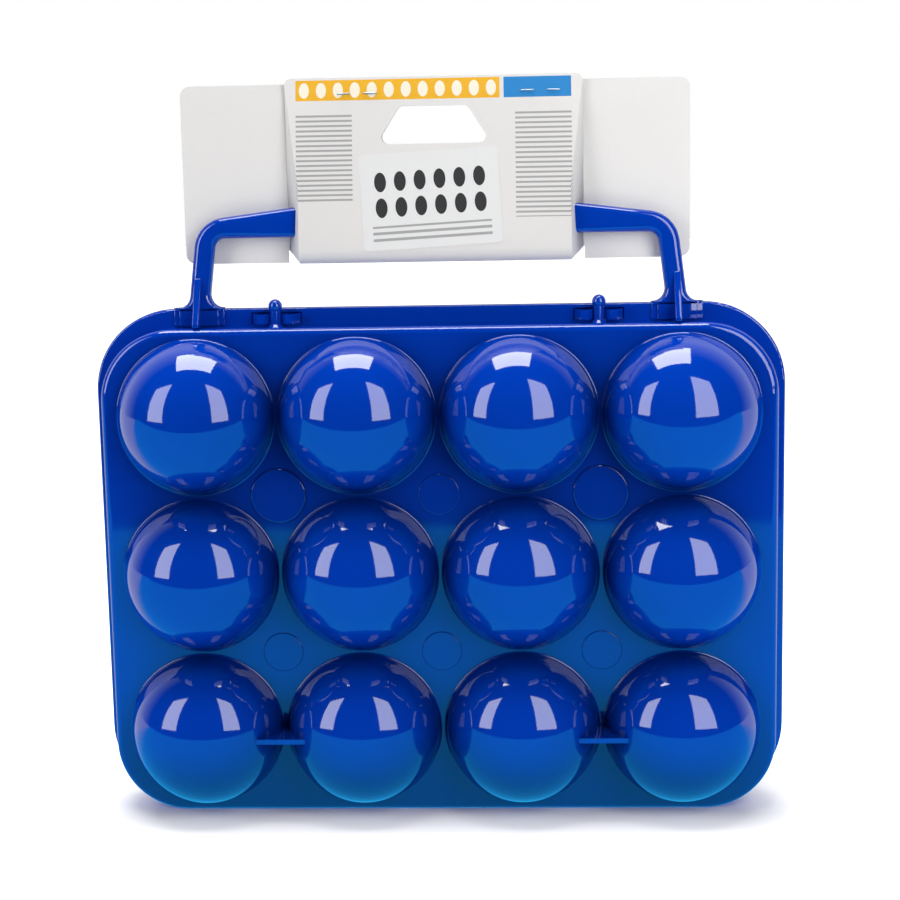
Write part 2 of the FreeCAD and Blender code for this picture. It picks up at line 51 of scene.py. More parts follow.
scene.view_settings.view_transform = "Standard"
MM = 0.001


# %% [markdown]
# The camera stands where the photographer stood: a little above and to the right, with a short telephoto
# lens. A camera can be aimed with a constraint, but a matrix built from the view direction also takes the
# slight roll of the hand-held picture, so the axes are worked out here.

# %% Camera
CAMERA_PLACE = Vector((30.93, -572.53, 204.86)) * MM
CAMERA_AIM = Vector((3.556, -9.4, 111.34)) * MM
CAMERA_ROLL = math.radians(-1.102)
LENS_PIXELS = 1930.18
FRAME_PIXELS = 900
SENSOR = 36.0
CLIP_START = 0.01


def add_camera():
    data = bpy.data.cameras.new("studio_camera")
    data.sensor_width = SENSOR
    data.lens = LENS_PIXELS / FRAME_PIXELS * SENSOR
    data.clip_start = CLIP_START
    camera = bpy.data.objects.new("studio_camera", data)
    scene.collection.objects.link(camera)
    back = (CAMERA_PLACE - CAMERA_AIM).normalized()
    level_right = Vector((0, 0, 1)).cross(back).normalized()
    level_up = back.cross(level_right)
    right = level_right * math.cos(CAMERA_ROLL) + level_up * math.sin(CAMERA_ROLL)
    up = back.cross(right)
    camera.matrix_world = Matrix.Translation(CAMERA_PLACE) @ Matrix((right, up, back)).transposed().to_4x4()
    scene.camera = camera
    return camera


print("camera lens, mm:", round(add_camera().data.lens, 1))

# %% [markdown]
# Materials are made of shader nodes. A few helpers keep the node code short: they start a material, add a
# node, and make the steps that every surface needs, which are cloudy noise, a stretched range, arithmetic,
# a mix of two colours and a bump.

# %% Node helpers
BLACK, WHITE = (0.0, 0.0, 0.0), (1.0, 1.0, 1.0)


def start_material(name):
    material = bpy.data.materials.new(name)
    material.use_nodes = True
    shader = material.node_tree.nodes["Principled BSDF"]
    return material, shader


def add_node(tree, kind, **settings):
    node = tree.nodes.new(kind)
    for name, setting in settings.items():
        setattr(node, name, setting)
    return node


def noise(tree, vector, scale, detail=2.0):
    """Cloudy pattern whose clouds are about one over the scale across, in metres."""
    node = add_node(tree, "ShaderNodeTexNoise")
    node.inputs["Scale"].default_value = scale
    node.inputs["Detail"].default_value = detail
    tree.links.new(vector, node.inputs["Vector"])
    return node.outputs["Fac"]


def remap(tree, source, low, high, start=0.0, end=1.0):
    """Stretch a value that runs from start to end so that it runs from low to high."""
    node = add_node(tree, "ShaderNodeMapRange")
    for name, number in (("From Min", start), ("From Max", end), ("To Min", low), ("To Max", high)):
        node.inputs[name].default_value = number
    tree.links.new(source, node.inputs["Value"])
    return node.outputs["Result"]


def arithmetic(tree, operation, first, second=0.0):
    """One step of arithmetic on two values, each a number or a socket."""
    node = add_node(tree, "ShaderNodeMath", operation=operation)
    for socket, value in zip(node.inputs, (first, second)):
        if isinstance(value, (int, float)):
            socket.default_value = value
        else:
            tree.links.new(value, socket)
    return node.outputs[0]


def mix_colours(tree, factor, first, second):
    """Blend two colours, each a tuple or a socket, by a factor from nought to one."""
    node = add_node(tree, "ShaderNodeMix", data_type="RGBA")
    tree.links.new(factor, node.inputs["Factor"])
    for socket, colour in ((node.inputs[6], first), (node.inputs[7], second)):
        if isinstance(colour, tuple):
            socket.default_value = (*colour, 1)
        else:
            tree.links.new(colour, socket)
    return node.outputs[2]


def add_bump(tree, height, shader, strength, distance):
    """Bend the shading by a height pattern, as low relief would."""
    node = add_node(tree, "ShaderNodeBump")
    node.inputs["Strength"].default_value = strength
    node.inputs["Distance"].default_value = distance
    tree.links.new(height, node.inputs["Height"])
    tree.links.new(node.outputs["Normal"], shader.inputs["Normal"])


print("helpers ready")

# %% [markdown]
# The carrier is moulded from royal blue plastic with a high polish. A plain blue would look painted, so
# the colour drifts slightly, as pigment does in a moulding, the polish is a little uneven, and a faint
# long wave bends the reflections. Little light comes back out of the valleys between the cups, so shade is
# painted into the colour there: it is darkened by how closed in each spot of the two plates is.

# %% Blue plastic
DEEP_BLUE, ROYAL_BLUE = (0.0, 0.036, 0.38), (0.0, 0.042, 0.43)
PIGMENT_DRIFT, POLISH_GRAIN, LONG_WAVE = 35.0, 900.0, 45.0
POLISH_BEST, POLISH_WORST = 0.035, 0.075
PLASTIC_IOR, PLASTIC_SHINE = 1.5, 0.8
WAVE_STRENGTH, WAVE_HEIGHT = 0.10, 0.0006
VALLEY_REACH, VALLEY_PAINTED_SHADE, VALLEY_RAYS = 0.04, 0.55, 6
VALLEY_CLOSED, VALLEY_OPEN = 0.52, 0.85
PLATE_NEAR, PLATE_FACE = 0.0085, 0.0094


def blue_plastic():
    material, shader = start_material("royal_blue_plastic")
    tree = material.node_tree
    place = add_node(tree, "ShaderNodeTexCoord").outputs["Object"]
    pigment = mix_colours(tree, noise(tree, place, PIGMENT_DRIFT), DEEP_BLUE, ROYAL_BLUE)
    # Painted shade: where ambient occlusion finds a spot of the plates closed in, the colour is darkened
    # toward black.
    valley = add_node(tree, "ShaderNodeAmbientOcclusion", samples=VALLEY_RAYS)
    valley.inputs["Distance"].default_value = VALLEY_REACH
    shade = remap(tree, valley.outputs["AO"], VALLEY_PAINTED_SHADE, 0.0, VALLEY_CLOSED, VALLEY_OPEN)
    spot = add_node(tree, "ShaderNodeSeparateXYZ")
    tree.links.new(place, spot.inputs[0])
    on_plate = remap(tree, arithmetic(tree, "ABSOLUTE", spot.outputs["Y"]), 0.0, 1.0, PLATE_NEAR, PLATE_FACE)
    colour = mix_colours(tree, arithmetic(tree, "MULTIPLY", shade, on_plate), pigment, BLACK)
    tree.links.new(colour, shader.inputs["Base Color"])
    roughness = remap(tree, noise(tree, place, POLISH_GRAIN, 4.0), POLISH_BEST, POLISH_WORST)
    tree.links.new(roughness, shader.inputs["Roughness"])
    shader.inputs["IOR"].default_value = PLASTIC_IOR
    shader.inputs["Specular IOR Level"].default_value = PLASTIC_SHINE
    add_bump(tree, noise(tree, place, LONG_WAVE, 1.0), shader, WAVE_STRENGTH, WAVE_HEIGHT)
    return material


PLASTIC = blue_plastic()
print("plastic made:", PLASTIC.name)

# %% [markdown]
# The hinge wires and staples are drawn steel: a metal shader with fine streaks along the wire. A stretched
# noise gives the streaks without any picture.

# %% Drawn steel wire
STEEL_DARK, STEEL_PALE = (0.52, 0.52, 0.53), (0.68, 0.68, 0.69)
STREAK_SCALE, STREAK_STRETCH = 6000.0, (0.1, 1.0, 1.0)
STEEL_SMOOTH, STEEL_ROUGH = 0.22, 0.40


def drawn_steel():
    material, shader = start_material("drawn_steel_wire")
    tree = material.node_tree
    place = add_node(tree, "ShaderNodeTexCoord").outputs["Object"]
    stretch = add_node(tree, "ShaderNodeMapping")
    stretch.inputs["Scale"].default_value = STREAK_STRETCH
    tree.links.new(place, stretch.inputs["Vector"])
    streaks = noise(tree, stretch.outputs["Vector"], STREAK_SCALE, 3.0)
    colour = mix_colours(tree, streaks, STEEL_DARK, STEEL_PALE)
    tree.links.new(colour, shader.inputs["Base Color"])
    tree.links.new(remap(tree, streaks, STEEL_SMOOTH, STEEL_ROUGH), shader.inputs["Roughness"])
    shader.inputs["Metallic"].default_value = 1.0
    return material


STEEL = drawn_steel()
print("steel made:", STEEL.name)

# %% [markdown]
# Every solid that stays as it is now gets its surface by its slot in the record. Only the material slots
# of the solids are changed; their shapes are left alone.

# %% Dress the solids
FINISHES = {"blue_plastic": PLASTIC, "steel": STEEL}


def dress_solids():
    dressed = 0
    for part in frame["record"]["subparts"]:
        finish = FINISHES.get(part["material_slot"])
        if finish:
            solid = frame["nodes"][part["node"]]
            solid.data.materials.clear()
            solid.data.materials.append(finish)
            dressed += 1
    return dressed


print("solids dressed:", dress_solids())

# %% [markdown]
# The carry handle is one flat U of plastic with softly rounded edges, and its legs flare where they grow
# out of the flange. It could be a flat outline with a bevel, but the flares are too thin for one. So a
# rounded cross-section is drawn between an outer and an inner edge line and skinned from foot to foot.

# %% Edge lines of the handle
FLANGE_TOP, SLAB_TOP = 153.3, 153.7
HANDLE_FRONT, HANDLE_BACK = -1.4, 3.0
FOOT_CENTRE, LEG_WIDTH, LEAN = 71.15, 6.3, math.tan(math.radians(7.2))
BAR_UNDERSIDE, BAR_END_TOP = 174.2, 179.4
FLARE, FLARE_REACH, BAR_CORNER, GRIP_CORNER, BAR_CROWN = 3.8, 4.6, 10.0, 3.0, 250.0
STEPS = {"flare": 8, "leg": 6, "corner": 10, "bar": 4, "crown": 8}
# Any place on the flange well outside a leg: the outer flare runs out toward it.
FAR_OUT = 200.0


def corner_arc(before, corner, after, radius, steps):
    """Points of the arc that rounds a corner of a path in the plane."""
    corner = Vector(corner)
    back = (Vector(before) - corner).normalized()
    ahead = (Vector(after) - corner).normalized()
    half = back.angle(ahead) / 2
    centre = corner + (back + ahead).normalized() * radius / math.sin(half)
    first = corner + back * radius / math.tan(half) - centre
    last = corner + ahead * radius / math.tan(half) - centre
    sweep = math.atan2(first.x * last.y - first.y * last.x, first.dot(last))
    turns = [Matrix.Rotation(sweep * step / steps, 2) for step in range(steps + 1)]
    return [centre + turn @ first for turn in turns]


def fill_line(start, end, steps):
    """Points between two points of a straight run, without its ends."""
    return [start.lerp(end, step / steps) for step in range(1, steps)]


def leg_edge(offset, height):
    """Point of the leaning right leg, offset from its middle line, at a height."""
    return (FOOT_CENTRE + offset - (height - FLANGE_TOP) * LEAN, height)


def outer_edge():
    half = LEG_WIDTH / 2
    end_top = leg_edge(half, BAR_END_TOP)
    crown = (0.0, BAR_END_TOP + end_top[0] * LEAN)
    foot = corner_arc((FAR_OUT, SLAB_TOP), leg_edge(half, SLAB_TOP), end_top, FLARE, STEPS["flare"])
    corner = corner_arc(leg_edge(half, SLAB_TOP), end_top, crown, BAR_CORNER, STEPS["corner"])
    top = corner_arc(end_top, crown, (-end_top[0], end_top[1]), BAR_CROWN, 2 * STEPS["crown"])
    top = top[:STEPS["crown"] + 1]
    return [Vector((FOOT_CENTRE + half + FLARE_REACH, SLAB_TOP)), *foot,
            *fill_line(foot[-1], corner[0], STEPS["leg"]), *corner,
            *fill_line(corner[-1], top[0], STEPS["bar"]), *top]


def inner_edge():
    half = -LEG_WIDTH / 2
    grip = leg_edge(half, BAR_UNDERSIDE)
    foot = corner_arc((0, SLAB_TOP), leg_edge(half, SLAB_TOP), grip, FLARE, STEPS["flare"])
    corner = corner_arc(leg_edge(half, SLAB_TOP), grip, (0, BAR_UNDERSIDE), GRIP_CORNER, STEPS["corner"])
    middle = Vector((0.0, BAR_UNDERSIDE))
    return [Vector((FOOT_CENTRE + half - FLARE_REACH, SLAB_TOP)), *foot,
            *fill_line(foot[-1], corner[0], STEPS["leg"]), *corner,
            *fill_line(corner[-1], middle, STEPS["bar"] + STEPS["crown"]), middle]


print("stations on the edge lines:", len(outer_edge()), len(inner_edge()))

# %% [markdown]
# Each station of the handle is a ring of points: a rectangle with rounded corners that reaches from the
# inner edge line to the outer one. Neighbouring rings are joined by quads, and the two ends are closed
# inside the flange where nobody sees them.

# %% Skin the handle
EDGE_ROUND, ROOT_SUNK = 2.0, 0.3
CORNER_STEPS = 8
CREASE = math.radians(38)


def ring(inner, outer):
    """Rounded rectangle between an inner and an outer edge point, from the front to the back face."""
    across = outer - inner
    round_share = EDGE_ROUND / across.length
    points = []
    corners = ((1 - round_share, HANDLE_BACK - EDGE_ROUND, 0), (round_share, HANDLE_BACK - EDGE_ROUND, 1),
               (round_share, HANDLE_FRONT + EDGE_ROUND, 2), (1 - round_share, HANDLE_FRONT + EDGE_ROUND, 3))
    for share, depth, quarter in corners:
        for step in range(CORNER_STEPS + 1):
            angle = math.pi / 2 * (quarter + step / CORNER_STEPS)
            spot = inner + across * (share + round_share * math.cos(angle))
            points.append(Vector((spot.x, depth + EDGE_ROUND * math.sin(angle), spot.y)) * MM)
    return points


def skin(mesh_data, rings):
    """Join rings of equally many points by quads and close both ends."""
    rows = [[mesh_data.verts.new(point) for point in points] for points in rings]
    count = len(rows[0])
    for row, following in zip(rows, rows[1:]):
        for here in range(count):
            there = (here + 1) % count
            mesh_data.faces.new((row[here], row[there], following[there], following[here]))
    mesh_data.faces.new(list(reversed(rows[0])))
    mesh_data.faces.new(rows[-1])


def new_piece(name, mesh_data, material):
    """Turn a bmesh into an object with smooth faces and sharp creases."""
    bmesh.ops.recalc_face_normals(mesh_data, faces=mesh_data.faces)
    mesh = bpy.data.meshes.new(name)
    mesh_data.to_mesh(mesh)
    mesh_data.free()
    mesh.polygons.foreach_set("use_smooth", [True] * len(mesh.polygons))
    mesh.set_sharp_from_angle(angle=CREASE)
    mesh.materials.append(material)
    piece = bpy.data.objects.new(name, mesh)
    scene.collection.objects.link(piece)
    return piece


def handle_mesh(add_details):
    """The skinned handle with some details added to it."""
    right = list(zip(inner_edge(), outer_edge()))
    sunk = Vector((0, FLANGE_TOP - SLAB_TOP - ROOT_SUNK))
    right.insert(0, (right[0][0] + sunk, right[0][1] + sunk))
    mirror = Vector((-1, 1))
    left = [(inner * mirror, outer * mirror) for inner, outer in reversed(right[:-1])]
    mesh_data = bmesh.new()
    skin(mesh_data, [ring(inner, outer) for inner, outer in right + left])
    add_details(mesh_data)
    return mesh_data


print("rings of the handle:", 2 * len(inner_edge()) + 1)

# %% [markdown]
# Each leg ends in a low root in front of the flange, and a thin upright gusset props it up from the lid's
# edge. They are small bevelled prisms that run into the leg, joined to the handle as one piece of plastic.

# %% Feet of the handle
FOOT_BOTTOM, FOOT_REACH = 148.4, 8.4
FOOT_HALF, STEP_HALF, STEP_FRONT = 5.9, 7.6, -0.7
GUSSET_HALF, GUSSET_TOP, GUSSET_TOE = 0.95, 162.6, 1.2
BLOCK_ROUND, BLOCK_BACK = 0.3, 1.0


def add_prism(whole, outline, centre, half):
    """Add an upright prism: an outline in depth and height, spread to both sides of a centre line."""
    mesh_data = bmesh.new()
    left, right = ([mesh_data.verts.new(Vector((centre + side * half, depth, height)) * MM)
                    for depth, height in outline] for side in (-1, 1))
    mesh_data.faces.new(left)
    mesh_data.faces.new(list(reversed(right)))
    for here in range(len(outline)):
        there = (here + 1) % len(outline)
        mesh_data.faces.new((left[there], left[here], right[here], right[there]))
    bmesh.ops.recalc_face_normals(mesh_data, faces=mesh_data.faces)
    bmesh.ops.bevel(mesh_data, geom=list(mesh_data.edges), offset=BLOCK_ROUND * MM, segments=3,
                    profile=0.5, affect="EDGES")
    prism = bpy.data.meshes.new("foot")
    mesh_data.to_mesh(prism)
    mesh_data.free()
    whole.from_mesh(prism)
    bpy.data.meshes.remove(prism)


def add_feet(whole):
    """Root blocks and gussets of both legs. They end inside the legs and the flange."""
    for side in (-1, 1):
        centre = side * FOOT_CENTRE
        for half, front in ((FOOT_HALF, HANDLE_FRONT), (STEP_HALF, STEP_FRONT)):
            block = ((front, FOOT_BOTTOM), (front, SLAB_TOP), (BLOCK_BACK, SLAB_TOP),
                     (BLOCK_BACK, FOOT_BOTTOM))
            add_prism(whole, block, centre, half)
        gusset = ((-FOOT_REACH, FOOT_BOTTOM), (-FOOT_REACH, FOOT_BOTTOM + GUSSET_TOE),
                  (HANDLE_FRONT, GUSSET_TOP), (BLOCK_BACK, GUSSET_TOP), (BLOCK_BACK, FOOT_BOTTOM))
        add_prism(whole, gusset, centre, GUSSET_HALF)


handle = new_piece("carry_handle_rounded", handle_mesh(add_feet), PLASTIC)
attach(handle, "rear_half")
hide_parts("carry_handle")
print("faces of the handle:", len(handle.data.polygons))

# %% [markdown]
# The egg cups are polished domes, and their mirror images show the least flaw in a mesh. So each cup is
# lathed again from its profile: a cap of a ball, a small round at its foot, its square of the plate, and the
# smaller ball of the bore behind. The spokes stretch from the round foot to the edge of the square.

# %% Profile of a cup
PITCH, COLUMNS, LINES = 48.0, 4, ("bottom", "middle", "top")
CUP_RADIUS, CUP_DEPTH, CUP_WALL, PLATE_WALL = 23.2, 20.5, 1.4, 1.6
FOOT_ROUND, MOUTH_ROUND, CELL_CORNER = 0.7, 0.6, 17.5
SPOKES, DOME_RINGS, ROUND_RINGS = 96, 24, 6
# A guard ring close to each round keeps the flat plate beside it flat in the shading.
GUARD = 0.04


def ball(radius, depth):
    """Radius of the ball whose cap has this radius and depth, and the place of its centre."""
    size = (radius ** 2 + depth ** 2) / (2 * depth)
    return size, depth - size


def arc(radius, depth, size, start, end, steps):
    """Points of a profile on an arc: angles count from straight ahead, in radians."""
    angles = [start + (end - start) * step / steps for step in range(steps + 1)]
    return [(radius + size * math.sin(angle), depth + size * math.cos(angle)) for angle in angles]


def outer_profile():
    size, centre = ball(CUP_RADIUS, CUP_DEPTH)
    reach = size + FOOT_ROUND
    foot_angle = math.acos((FOOT_ROUND - centre) / reach)
    dome = arc(0, centre, size, 0, foot_angle, DOME_RINGS)
    foot_reach = reach * math.sin(foot_angle)
    foot = arc(foot_reach, FOOT_ROUND, FOOT_ROUND, foot_angle + math.pi, math.pi, ROUND_RINGS)
    return dome + foot[1:] + [(foot_reach + GUARD, 0)]


def inner_profile():
    bore = CUP_RADIUS - CUP_WALL
    size, centre = ball(bore, CUP_DEPTH - CUP_WALL)
    mouth_reach = bore + MOUTH_ROUND
    mouth = arc(mouth_reach, MOUTH_ROUND - PLATE_WALL, MOUTH_ROUND, math.pi, 1.5 * math.pi, ROUND_RINGS)
    dome = arc(0, centre, size, math.acos(-centre / size), 0, DOME_RINGS)
    return [(mouth_reach + GUARD, -PLATE_WALL)] + mouth + dome


print("points on the two profiles:", len(outer_profile()), len(inner_profile()))

# %% [markdown]
# The corner cups of each half sit in the rounded corners of the tray, so one corner of their square is an
# arc. A spoke ends where it meets that arc or the straight edge.

# %% Spokes of a cup
TILE_HALF = PITCH / 2


def spokes():
    """Directions of the spokes in the plane of the plate."""
    turns = [2 * math.pi * number / SPOKES for number in range(SPOKES)]
    return [Vector((math.cos(turn), math.sin(turn))) for turn in turns]


def tile_reach(spoke, corner):
    """Length of a spoke from the cup's axis to the edge of its square."""
    square = TILE_HALF / max(abs(spoke.x), abs(spoke.y))
    if corner is None:
        return square
    centre = Vector(corner) * (TILE_HALF - CELL_CORNER)
    along = spoke.dot(centre)
    rounded = along + math.sqrt(max(0.0, along ** 2 - centre.length_squared + CELL_CORNER ** 2))
    beyond = min(rounded * spoke.x * corner[0], rounded * spoke.y * corner[1])
    return rounded if beyond >= TILE_HALF - CELL_CORNER else square


diagonal = Vector((1, 1)).normalized()
print("longest spokes, mm:", [round(tile_reach(diagonal, corner), 1) for corner in (None, (1, 1))])

# %% [markdown]
# A cup is turned like a bowl on a lathe: every point of the profile becomes a ring, rings are joined by
# quads, and a fan closes each end at its tip. The same function makes all the cups of both halves, and each
# one rides with its own half.

# %% Lathe the cups
TRAY_DEPTH, BASE_BORDER = 9.4, 2.0


def lathe(rings, tips):
    """Skin rings by quads and close each end by a fan to its tip."""
    mesh_data = bmesh.new()
    rows = [[mesh_data.verts.new(point) for point in points] for points in rings]
    following = [(here, (here + 1) % SPOKES) for here in range(SPOKES)]
    for row, next_row in zip(rows, rows[1:]):
        for here, there in following:
            mesh_data.faces.new((row[here], row[there], next_row[there], next_row[here]))
    for row, tip in zip((rows[0], rows[-1]), tips):
        tip_vertex = mesh_data.verts.new(tip)
        for here, there in following:
            mesh_data.faces.new((row[here], row[there], tip_vertex))
    return mesh_data


def lathe_cup(name, middle, facing, corner):
    """A cup on its square of the plate, facing the front (-1) or the rear (1)."""
    def spot(across, depth):
        return Vector((middle.x + across.x, facing * (TRAY_DEPTH + depth), middle.y + across.y)) * MM

    def circle(radius, depth):
        return [spot(spoke * radius, depth) for spoke in spokes()]

    def edge(depth):
        return [spot(spoke * tile_reach(spoke, corner), depth) for spoke in spokes()]

    outer, inner = outer_profile(), inner_profile()
    rings = [circle(*point) for point in outer[1:]] + [edge(0), edge(-PLATE_WALL)]
    rings += [circle(*point) for point in inner[:-1]]
    tips = [spot(Vector((0, 0)), depth) for _, depth in (outer[0], inner[-1])]
    return new_piece(name, lathe(rings, tips), PLASTIC)


def egg_cups():
    cups = []
    for half, facing in (("front", -1), ("rear", 1)):
        for level, line in enumerate(LINES):
            for column in range(COLUMNS):
                node = f"{half}_cup_{line}_{column + 1}"
                middle = Vector(((column + 0.5 - COLUMNS / 2) * PITCH, BASE_BORDER + (level + 0.5) * PITCH))
                at_corner = column in (0, COLUMNS - 1) and line != "middle"
                corner = (math.copysign(1, middle.x), -1 if level == 0 else 1) if at_corner else None
                cup = lathe_cup(f"{node}_polished", middle, facing, corner)
                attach(cup, f"{half}_half")
                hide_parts(node)
                cups.append(cup)
    return cups


print("cups:", len(egg_cups()))

# %% [markdown]
# Where four cups meet, the lid has low round pads, larger ones at the outer crossings of the upper line.
# Their soft edge catches the light from above as a thin arc, so each pad is a disc with a rounded edge,
# made of rings like the cups.

# %% Pads between the cups
LARGE_PAD, MIDDLE_PAD, LOW_PAD = (8.3, 0.5), (6.2, 0.25), (6.0, 0.25)
PAD_SUNK = 0.05


def add_pad(mesh_data, middle, radius, thickness):
    """A disc whose edge is a quarter round as high as the disc is thick."""
    core = radius - thickness
    edge = arc(core, 0, thickness, 0, math.pi / 2, ROUND_RINGS)
    rings = []
    for reach, rise in [(core - GUARD, thickness), *edge, (radius, -PAD_SUNK)]:
        spots = [middle + spoke * reach for spoke in spokes()]
        rings.append([Vector((spot.x, -TRAY_DEPTH - rise, spot.y)) * MM for spot in spots])
    skin(mesh_data, rings)


def rounded_pads():
    mesh_data = bmesh.new()
    for column in (-1, 0, 1):
        upper = LARGE_PAD if column else MIDDLE_PAD
        for crossing, (radius, thickness) in ((2, upper), (1, LOW_PAD)):
            middle = Vector((column * PITCH, BASE_BORDER + crossing * PITCH))
            add_pad(mesh_data, middle, radius, thickness)
    return new_piece("plate_pads_rounded", mesh_data, PLASTIC)


pads = rounded_pads()
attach(pads, "front_half")
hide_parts("plate_pads")
print("faces of the pads:", len(pads.data.polygons))

# %% [markdown]
# The header card is coated white board with a plain printed design: an amber band with a row of eggs, a blue
# end to it, and two columns of ruled lines. The print could be a picture, but here it is part of the
# material, so it stays sharp: each piece of paper keeps its flat pattern as a UV map in metres, and simple
# comparisons on it pick the printed places.

# %% Printing helpers
EGG_WIDE, EGG_TALL, RULE_SHARE = 0.30, 0.38, 0.42


def inside_span(tree, value, low, high):
    """One where a value lies between two limits, and nought elsewhere."""
    above = arithmetic(tree, "GREATER_THAN", value, low)
    return arithmetic(tree, "MULTIPLY", above, arithmetic(tree, "LESS_THAN", value, high))


def print_block(tree, across, up, box):
    """One inside a box given by its left, right, lower and upper limits in millimetres."""
    left, right, low, high = box
    beside, level = inside_span(tree, across, left, right), inside_span(tree, up, low, high)
    return arithmetic(tree, "MULTIPLY", beside, level)


def print_eggs(tree, across, up, box, columns, rows):
    """Eggs in even columns and rows that fill a box: each is an oval in its own cell."""
    left, right, low, high = box
    cell_width, cell_height = (right - left) / columns, (high - low) / rows
    distance = 0.0
    ways = ((across, left, cell_width, EGG_WIDE), (up, low, cell_height, EGG_TALL))
    for value, first, cell, radius in ways:
        cells = arithmetic(tree, "DIVIDE", arithmetic(tree, "SUBTRACT", value, first), cell)
        share = arithmetic(tree, "FRACT", cells)
        offset = arithmetic(tree, "DIVIDE", arithmetic(tree, "SUBTRACT", share, 0.5), radius)
        distance = arithmetic(tree, "ADD", arithmetic(tree, "MULTIPLY", offset, offset), distance)
    oval = arithmetic(tree, "LESS_THAN", distance, 1.0)
    return arithmetic(tree, "MULTIPLY", oval, print_block(tree, across, up, box))


def print_rules(tree, across, up, box, pitch):
    """Fine lines across a box, one to a pitch."""
    share = arithmetic(tree, "FRACT", arithmetic(tree, "DIVIDE", up, pitch))
    line = arithmetic(tree, "LESS_THAN", share, RULE_SHARE)
    return arithmetic(tree, "MULTIPLY", line, print_block(tree, across, up, box))


print("printing helpers ready")

# %% [markdown]
# Board and label are both coated paper. Its fibres are a fine noise that runs through the colour, the shine
# and the height, so the paper doesn't look like plastic. The print is laid over this ground afterwards.

# %% Paper
FIBRE_SCALE, FIBRE_STRENGTH, FIBRE_HEIGHT = 2500.0, 0.15, 0.00005
PAPER_SMOOTH, PAPER_ROUGH, PAPER_SHINE = 0.42, 0.60, 0.35


def start_paper(name, pale, dark):
    """Plain paper, with sockets for the colour and for the place on the flat pattern in millimetres."""
    material, shader = start_material(name)
    tree = material.node_tree
    place = add_node(tree, "ShaderNodeTexCoord").outputs["Object"]
    fibres = noise(tree, place, FIBRE_SCALE, 5.0)
    tree.links.new(remap(tree, fibres, PAPER_SMOOTH, PAPER_ROUGH), shader.inputs["Roughness"])
    shader.inputs["Specular IOR Level"].default_value = PAPER_SHINE
    add_bump(tree, fibres, shader, FIBRE_STRENGTH, FIBRE_HEIGHT)
    pattern = add_node(tree, "ShaderNodeUVMap", uv_map="flat_pattern")
    scaled = add_node(tree, "ShaderNodeVectorMath", operation="SCALE")
    scaled.inputs["Scale"].default_value = 1 / MM
    tree.links.new(pattern.outputs["UV"], scaled.inputs[0])
    spot = add_node(tree, "ShaderNodeSeparateXYZ")
    tree.links.new(scaled.outputs[0], spot.inputs[0])
    return material, mix_colours(tree, fibres, dark, pale), spot.outputs["X"], spot.outputs["Y"]


def finish_paper(material, colour):
    tree = material.node_tree
    tree.links.new(colour, tree.nodes["Principled BSDF"].inputs["Base Color"])
    return material


print("fibres about", round(1 / (FIBRE_SCALE * MM), 1), "mm across")

# %% [markdown]
# The board is printed on the side that shows in front, and its whole front panel is darkened a little as
# painted shade. The rear panel shows its bare inside. The label has a dozen dark eggs over a few ruled
# lines.

# %% Print the board and the label
FRONT_HALF, FRONT_TOP = 43.8, 220.5
BOARD_PALE, BOARD_DARK = (0.80, 0.785, 0.77), (0.74, 0.725, 0.71)
PANEL_SHADE_LOW, PANEL_SHADE_HIGH, PANEL_SHADE_STRENGTH, PANEL_SHADE_TONE = -6.0, 60.0, 0.08, (0.02, 0.02, 0.03)
BAND_LEFT, BAND_RIGHT, BAND_LOW, BAND_HIGH, BAND_GAP = -40.5, 19.5, 44.0, 50.0, 1.2
AMBER, SKY, EGG_SHELL = (0.80, 0.42, 0.02), (0.02, 0.22, 0.55), (0.86, 0.80, 0.66)
INK, GREY_INK = (0.03, 0.03, 0.03), (0.36, 0.36, 0.36)
RULED_COLUMNS, RULE_PITCH = ((-40.5, -24.0, 14.0, 40.5), (24.0, 40.5, 9.0, 40.5)), 1.45
LABEL_PALE, LABEL_DARK = (0.76, 0.76, 0.76), (0.70, 0.70, 0.70)
LABEL_HALF, LABEL_TALL, LABEL_MARGIN = 20.5, 28.0, 3.0
LABEL_RULES_LOW, LABEL_RULES_HIGH, LABEL_RULE_PITCH = 2.5, 7.0, 1.9
LABEL_EGGS_LOW, LABEL_EGGS_DROP = 8.5, 4.5


def printed_board():
    material, colour, across, up = start_paper("printed_board", BOARD_PALE, BOARD_DARK)
    tree = material.node_tree
    # Painted shade: a faint grey over the whole front panel makes it a little darker than the rear one.
    painted_panel_shade = print_block(tree, across, up, (-FRONT_HALF, FRONT_HALF, PANEL_SHADE_LOW, PANEL_SHADE_HIGH))
    colour = mix_colours(tree, arithmetic(tree, "MULTIPLY", painted_panel_shade, PANEL_SHADE_STRENGTH), colour, PANEL_SHADE_TONE)
    band = (BAND_LEFT, BAND_RIGHT, BAND_LOW, BAND_HIGH)
    blue_end = (BAND_RIGHT + BAND_GAP, -BAND_LEFT, BAND_LOW, BAND_HIGH)
    colour = mix_colours(tree, print_block(tree, across, up, band), colour, AMBER)
    colour = mix_colours(tree, print_eggs(tree, across, up, band, 12, 1), colour, EGG_SHELL)
    colour = mix_colours(tree, print_block(tree, across, up, blue_end), colour, SKY)
    for column in RULED_COLUMNS:
        colour = mix_colours(tree, print_rules(tree, across, up, column, RULE_PITCH), colour, GREY_INK)
    return finish_paper(material, colour)


